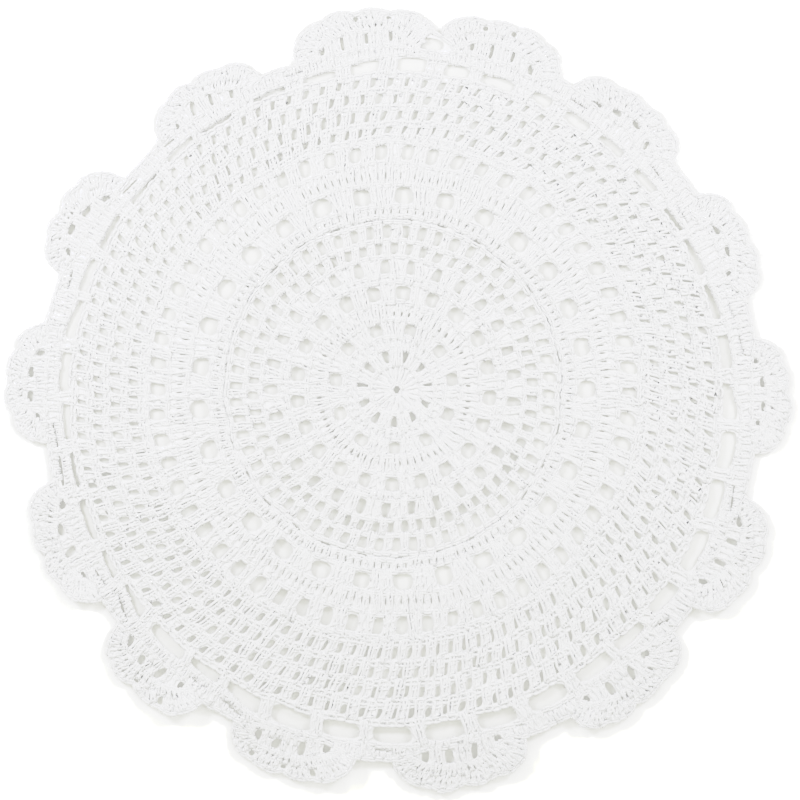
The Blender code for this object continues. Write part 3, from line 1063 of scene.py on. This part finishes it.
def cut_along(low, high, ahead, half_wide, **form):
    """Cuts an opening from low to high, in the direction ahead."""
    across = half_wide * np.array([ahead[1], -ahead[0]])
    web_holes.append(hole_between(low - across, low + across, high - across, high + across, **form))


RIM_CRACK = (0.9, 0.22, 0.72)   # mm wide, from and to which share of a row
LEAST_CRACK = 1.2               # mm long
CRACK_CLEAR = 1.3               # mm from a crack to any other opening
CRACKED_SHARE = 0.75            # of the outer row, below its chain
other_openings = np.concatenate(web_holes)


def rim_cracks(feet, tops):
    """Cracks in the web between neighbouring stitches of a rim row."""
    wide, low, high = RIM_CRACK
    foot, top = 0.5 * (feet[:-1] + feet[1:]), 0.5 * (tops[:-1] + tops[1:])
    for base, head in zip(foot + (top - foot) * low, foot + (top - foot) * high):
        if np.linalg.norm(head - base) < LEAST_CRACK:
            continue
        nearest = min(np.linalg.norm(other_openings - spot, axis=1).min() for spot in (base, head))
        if nearest < CRACK_CLEAR:
            continue
        ahead = (head - base) / np.linalg.norm(head - base)
        cut_along(base, head, ahead, 0.5 * wide, **CRACK_FORM)


# %% The rims: two rows that spread out to the scallops
for index, shell in enumerate(SHELLS):
    piece = "fans_a" if index % 2 else "fans_b"
    rim_points = place(*shell_rim(index, EDGE_INSET))
    smooth_radius, smooth_deg = shell_rim(index, EDGE_INSET + RIM_SMOOTH, 0.0)
    smooth_points = place(smooth_radius, smooth_deg)
    shares, length = evened(smooth_points)
    rim, smooth = (rim_points, shares), (smooth_points, shares)
    knots = rim_feet[index]
    knot_at = np.linspace(knots[0, 0], knots[-1, 0], RIM_STEPS_INNER)
    inner_points = measured(np.interp(knot_at, knots[:, 0], knots[:, 1]), knot_at)
    inner_shares, inner_length = evened(inner_points)
    inner = inner_points, inner_shares
    count = int(round(0.5 * (length + inner_length) / RIM_STITCH_MM))
    want = (np.arange(count) + 0.5) / count
    feet = on_curve(inner, want)
    halfway = 0.5 * (feet + on_curve(smooth, want))
    add_posts(piece, feet, halfway, 3, RIM_WIDTH)
    rim_cracks(feet[1:-1], halfway[1:-1])
    count = int(round(inner_length / RIM_LOOP_MM))
    add_line(piece, on_curve(inner, np.linspace(0.0, 1.0, count + 1)))
    limits = (shell[1],) + NOTCHES[index] + (shell[2],)
    bounds = np.interp(limits, smooth_deg, shares)
    margins = [NOTCH_MARGIN / length if limit in OPEN_NOTCHES else 0.0 for limit in limits]
    for bound, margin in zip(bounds, margins):
        if margin > 0.0:
            foot = 0.5 * (on_curve(inner, bound) + on_curve(smooth, bound))
            head = on_curve(rim, bound)
            ahead = (head - foot) / np.linalg.norm(head - foot)
            cut_along(foot + NOTCH_FROM * ahead, head - NOTCH_TO * ahead, ahead, NOTCH_HALF)
    for begin, finish, before, after in zip(bounds[:-1], bounds[1:], margins[:-1], margins[1:]):
        first, last = begin + before, finish - after
        count = max(3, int(round((last - first) * length / RIM_STITCH_MM)))
        want = first + (last - first) * (np.arange(count) + 0.5) / count
        close = 0.5 * (first + last) + SPREAD_SHARE * (want - 0.5 * (first + last))
        feet = 0.5 * (on_curve(inner, close) + on_curve(smooth, close))
        tops = on_curve(rim, want)
        add_posts(piece, feet, tops, 3, RIM_WIDTH)
        rim_cracks(feet, feet + CRACKED_SHARE * (tops - feet))
        add_line(piece, on_curve(rim, np.linspace(begin, finish, count + 1)))
print("in all", stitch_count, "stitches,", link_count, "chain loops and", len(web_holes), "openings")

# %% [markdown]
# ## The cotton
# Crochet cotton is a bright matt white. The eye sees its twist as fine slanting ridges on
# each thread, and a little fuzz that softens every edge. Both are bump, because they are
# a tenth of a millimetre deep, and thread pieces carry a map along which the twist runs.

# %% Small helpers for objects, colours as hex and shader nodes
def add_object(name, data):
    made = bpy.data.objects.new(name, data)
    bpy.context.collection.objects.link(made)
    return made


def to_linear(value):
    return value / 12.92 if value <= 0.04045 else ((value + 0.055) / 1.055) ** 2.4


def linear(hex_colour):
    """sRGB hex to the linear colour that shaders use."""
    return tuple(to_linear(int(hex_colour[i : i + 2], 16) / 255.0) for i in (0, 2, 4)) + (1.0,)


def give(socket, value):
    """Sets an input to a value, or links it to another node's output."""
    if isinstance(value, bpy.types.NodeSocket):
        socket.id_data.links.new(value, socket)
    else:
        socket.default_value = value


def fill(made, **inputs):
    for key, value in inputs.items():
        give(made.inputs[key.replace("_", " ")], value)


def node(tree, kind, settings=None, **inputs):
    """Adds a node, with its plain settings and its inputs by name."""
    made = tree.nodes.new(kind)
    for key, value in (settings or {}).items():
        setattr(made, key, value)
    fill(made, **inputs)
    return made


def calculate(tree, operation, *values):
    """Adds a math node and gives its result."""
    made = node(tree, "ShaderNodeMath", {"operation": operation})
    for socket, value in zip(made.inputs, values):
        give(socket, value)
    return made.outputs[0]


def mixed(tree, share, hex_colour, other_hex_colour):
    """Adds a mix of two colours and gives its result."""
    made = node(tree, "ShaderNodeMix", {"data_type": "RGBA"}, Factor=share)
    give(made.inputs[6], linear(hex_colour))
    give(made.inputs[7], linear(other_hex_colour))
    return made.outputs[2]


def new_material(name):
    """A material, its node tree and its shader."""
    made = bpy.data.materials.new(name)
    made.use_nodes = True
    return made, made.node_tree, made.node_tree.nodes["Principled BSDF"]


# %% White crochet cotton
COTTON = "F5F5F5"
COTTON_SHADE = "F2F2F2"
TWIST_MM = 0.9          # along the thread, for one turn of its three plies
PLIES = 3.0
PLY_DEEP, FUZZ_DEEP = 0.0001, 0.0002            # metres
MOTTLE_SCALE, FUZZ_SCALE = 900.0, 2000.0        # for each metre
material, tree, shader = new_material("white_crochet_cotton")
place_node = node(tree, "ShaderNodeTexCoord")
mottle = node(tree, "ShaderNodeTexNoise", Scale=MOTTLE_SCALE, Detail=3.0, Vector=place_node.outputs["Object"])
tone = mixed(tree, mottle.outputs["Fac"], COTTON_SHADE, COTTON)
strand = node(tree, "ShaderNodeUVMap", {"uv_map": "thread"})
parts = node(tree, "ShaderNodeSeparateXYZ", Vector=strand.outputs["UV"])
turns = calculate(tree, "DIVIDE", parts.outputs["X"], TWIST_MM)
ply = calculate(tree, "MULTIPLY_ADD", parts.outputs["Y"], PLIES, turns)
ridge = calculate(tree, "SINE", calculate(tree, "MULTIPLY", ply, 2.0 * math.pi))
ply_bump = node(tree, "ShaderNodeBump", Strength=0.35, Distance=PLY_DEEP, Height=ridge)
fuzz = node(tree, "ShaderNodeTexNoise", Scale=FUZZ_SCALE, Detail=3.0, Vector=place_node.outputs["Object"])
fuzz_bump = node(tree, "ShaderNodeBump", Strength=0.3, Distance=FUZZ_DEEP, Height=fuzz.outputs["Fac"])
fill(fuzz_bump, Normal=ply_bump.outputs["Normal"])
fill(shader, Base_Color=tone, Normal=fuzz_bump.outputs["Normal"])
fill(shader, Roughness=0.9, Specular_IOR_Level=0.1, Sheen_Weight=0.12, Sheen_Roughness=0.5)

# %% [markdown]
# ## The thread pieces
# All that was laid down for one piece is joined to one mesh, which is much quicker to
# handle than an object for each stitch.

# %% Thread pieces
total = 0
for name, groups in work.items():
    mesh = joined_mesh(name, groups)
    piece = add_object(name, mesh)
    mesh.materials.append(material)
    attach(piece, "root")
    triangles = sum(len(p.vertices) - 2 for p in mesh.polygons)
    total += triangles
    print(name, triangles, "triangles")
print("thread in all", total, "triangles")

# %% [markdown]
# ## The web
# Inside the thread lies the cloth as one thin sheet, with the real outline and every
# opening. It is a filled flat curve, given a third of a millimetre of thickness and
# then laid on the same slow waves as the thread.

# %% The web as a filled curve, made a mesh
WEB_THICK = 0.3         # mm
WEB_MIDDLE = 0.95       # mm above the underside of the thread
WEB_INSET = 1.6         # mm from the outline
OUTLINE_EVERY = 3       # one of that many points of the outline is enough


web_rims = [place(*shell_rim(i, WEB_INSET))[::OUTLINE_EVERY] for i in range(len(SHELLS))]
web_outline = np.concatenate(web_rims)
loops = [to_frame(web_outline)] + [to_frame(hole) for hole in web_holes]
curve = bpy.data.curves.new("web", "CURVE")
curve.dimensions = "2D"
curve.fill_mode = "BOTH"
curve.extrude = 0.5 * WEB_THICK * MM
for loop in loops:
    spline = curve.splines.new("POLY")
    spline.points.add(len(loop) - 1)
    flat = np.concatenate([loop * MM, np.zeros((len(loop), 1)), np.ones((len(loop), 1))], 1)
    spline.points.foreach_set("co", flat.ravel())
    spline.use_cyclic_u = True
web = add_object("web", curve)
bpy.ops.object.select_all(action="DESELECT")
web.select_set(True)
bpy.context.view_layer.objects.active = web
bpy.ops.object.convert(target="MESH")
web = bpy.context.object
web.name = "web"

# %% [markdown]
# ## The web's triangles
# A filled curve comes with triangles that reach right across the doily, and they would
# cut through the waves. So they are evened out and split until none is long, and only
# then is the web laid on the waves.

# %% Even triangles
MOST_EDGE_MM = 6.0
MOST_ROUNDS = 4
SAME_PLACE_MM = 0.01


def is_flat(face):
    """Whether a face belongs to the top or the underside of the web and not to its edge."""
    return abs(face.normal.z) > 0.5


net = bmesh.new()
net.from_mesh(web.data)
bmesh.ops.remove_doubles(net, verts=net.verts[:], dist=SAME_PLACE_MM * MM)
for _ in range(MOST_ROUNDS):
    bmesh.ops.triangulate(net, faces=[face for face in net.faces if len(face.verts) > 3 and is_flat(face)])
    inner = [e for e in net.edges if len(e.link_faces) == 2 and all(map(is_flat, e.link_faces))]
    bmesh.ops.beautify_fill(net, faces=[face for face in net.faces if is_flat(face)], edges=inner)
    long_edges = [edge for edge in net.edges if edge.calc_length() > MOST_EDGE_MM * MM]
    print("web edges over", MOST_EDGE_MM, "mm:", len(long_edges))
    if not long_edges:
        break
    bmesh.ops.subdivide_edges(net, edges=long_edges, cuts=1)
bmesh.ops.recalc_face_normals(net, faces=net.faces[:])
net.to_mesh(web.data)
net.free()

co = np.empty(len(web.data.vertices) * 3, np.float32)
web.data.vertices.foreach_get("co", co)
co = co.reshape(-1, 3)
co[:, 2] += (lie(co[:, :2] / MM) + WEB_MIDDLE) * MM
web.data.vertices.foreach_set("co", co.ravel())
web.data.update()
web.data.materials.clear()
web.data.materials.append(material)
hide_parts("doily")
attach(web, "root")

# %% [markdown]
# ## The table
# The doily is shown on a white table. The card under the doily is painted grey, a painted
# shade that the openings show, and beyond the outline it turns white. The card also glows, a
# painted light: under the doily it lifts the shade in the openings, just outside the rim it is
# weak, so the shadows there stay dark, and further out it is strong, so the table goes white.
# So the table's mesh follows the doily's outline with a few rings, which carry two values, how
# far the card is out of its painted shade and how strongly it glows, and the shader reads them.

# %% Table
CARD_PAINTED_LIGHT_RINGS = (
    # mm beyond the doily's outline, how far the card is out of its painted shade there (0 is the
    # painted grey under the doily, 1 is white) and how strongly it glows, a painted light
    (-0.6, 0.0, 0.225),
    (1.0, 1.0, 0.07),
    (20.0, 1.0, 0.34),
    (4000.0, 1.0, 0.34),
)
# the grey of the card under the doily is painted shade; outside the doily the card is white
CARD_PAINTED_SHADE, CARD_OUTER = "DBDBDA", "FFFFFF"
# the card's glow is painted light, not a lamp: it lifts the shade in the openings, is weakest just outside
# the rim so the shadows there stay dark, and whitens the far table
PAINTED_GLOW_COLOUR = (1.0, 1.0, 0.945, 1.0)
card_rim = to_frame(outline)[::OUTLINE_EVERY]
rings = [card_rim + unit(card_rim) * beyond for beyond, _, _ in CARD_PAINTED_LIGHT_RINGS]
corners = np.concatenate([np.zeros((1, 2))] + rings) * MM
count = len(card_rim)
pairs = [(a, (a + 1) % count) for a in range(count)]
faces = [(0, 1 + a, 1 + b) for a, b in pairs]
for low in range(1, 1 + count * (len(rings) - 1), count):
    high = low + count
    faces += [(low + a, high + a, high + b, low + b) for a, b in pairs]
mesh = bpy.data.meshes.new("table")
mesh.from_pydata([(float(x), float(y), 0.0) for x, y in corners], [], faces)
for which, called in ((1, "out_of_painted_shade"), (2, "painted_glow")):
    layer = mesh.attributes.new(called, "FLOAT", "POINT")
    in_rings = [ring[which] for ring in CARD_PAINTED_LIGHT_RINGS for _ in pairs]
    layer.data.foreach_set("value", [CARD_PAINTED_LIGHT_RINGS[0][which]] + in_rings)
table = add_object("table", mesh)

# %% White card, with its painted shade and painted glow
paper, tree, shader = new_material("white_card_painted_shade_and_glow")
painted_shade_node = node(tree, "ShaderNodeAttribute", {"attribute_name": "out_of_painted_shade"})
painted_glow = node(tree, "ShaderNodeAttribute", {"attribute_name": "painted_glow"})
# the card's colour mixes the painted shade under the doily with the white outside it
fill(shader, Base_Color=mixed(tree, painted_shade_node.outputs["Fac"], CARD_PAINTED_SHADE, CARD_OUTER))
# the glow read from the mesh is painted light
fill(shader, Emission_Color=PAINTED_GLOW_COLOUR, Emission_Strength=painted_glow.outputs["Fac"])
fill(shader, Roughness=0.8, Specular_IOR_Level=0.2)
table.data.materials.append(paper)

# %% [markdown]
# ## The light
# Light comes from all round, so shadows stay pale, and from two soft lamps beyond the back
# corners, the left one stronger. White cotton on white would lose its shading in the
# brightest tones, so a curve eases them, as film does, and then lets the table go white.

# %% How brightness is shown
scene = bpy.context.scene
scene.view_settings.view_transform = "Standard"
SHOULDER = (
    # exposed, shown
    (0.40, 0.40),
    (0.57, 0.57),
    (0.72, 0.750),
    (0.86, 0.853),
    (1.00, 0.917),
    (1.04, 0.935),
    (1.09, 1.0),
)
SHOULDER_END = (2.0, 1.6)   # and straight on beyond that
scene.view_settings.use_curve_mapping = True
film = scene.view_settings.curve_mapping
film.clip_max_x = film.clip_max_y = SHOULDER_END[0]
film.extend = "EXTRAPOLATED"
film.curves[3].points[-1].location = SHOULDER_END
for exposed, shown in SHOULDER:
    film.curves[3].points.new(exposed, shown)
film.update()

# %% The room's light and two lamps
ROOM_COLOUR, ROOM_STRENGTH = (1.0, 1.0, 0.955, 1.0), 0.79
world = bpy.data.worlds.new("bright_room")
scene.world = world
world.use_nodes = True
fill(world.node_tree.nodes["Background"], Color=ROOM_COLOUR, Strength=ROOM_STRENGTH)
LAMP_WIDE = 0.14        # metres
LAMP_COLOUR = (0.98, 0.98, 1.12)    # a little blue, against the yellow of the room's light
LAMPS = (
    # name, watts, place in metres
    ("lamp_left", 1.50, (-0.49, 0.30, 0.46)),
    ("lamp_right", 1.12, (0.47, 0.30, 0.46)),
)
for name, watts, stands_at in LAMPS:
    lamp_data = bpy.data.lights.new(name, "AREA")
    lamp_data.shape = "DISK"
    lamp_data.size = LAMP_WIDE
    lamp_data.energy = watts
    lamp_data.color = LAMP_COLOUR
    lamp = add_object(name, lamp_data)
    lamp.rotation_mode = "QUATERNION"
    lamp.rotation_quaternion = Vector(stands_at).to_track_quat("Z", "Y")
    lamp.location = Vector(stands_at)

# %% [markdown]
# ## The camera
# It looks straight down from high up through a long lens, so the doily stays round and
# what stands off the table hardly shifts. Its width of view follows from the focal length.

# %% Camera
VIEW_WIDE = 0.356       # metres that the picture is wide, at the table
VIEW_HIGH = 1.4         # metres above the doily
VIEW_MIDDLE = (0.67 * MM, -0.45 * MM)
SENSOR = 36.0           # mm wide
camera_data = bpy.data.cameras.new("camera")
camera_data.sensor_width = SENSOR
camera_data.lens = SENSOR * VIEW_HIGH / VIEW_WIDE
camera_data.clip_start, camera_data.clip_end = 0.01, 10.0
camera = add_object("camera", camera_data)
camera.location = (*VIEW_MIDDLE, VIEW_HIGH + 1.0 * MM)
scene.camera = camera
print("camera lens in mm:", round(camera_data.lens, 1))
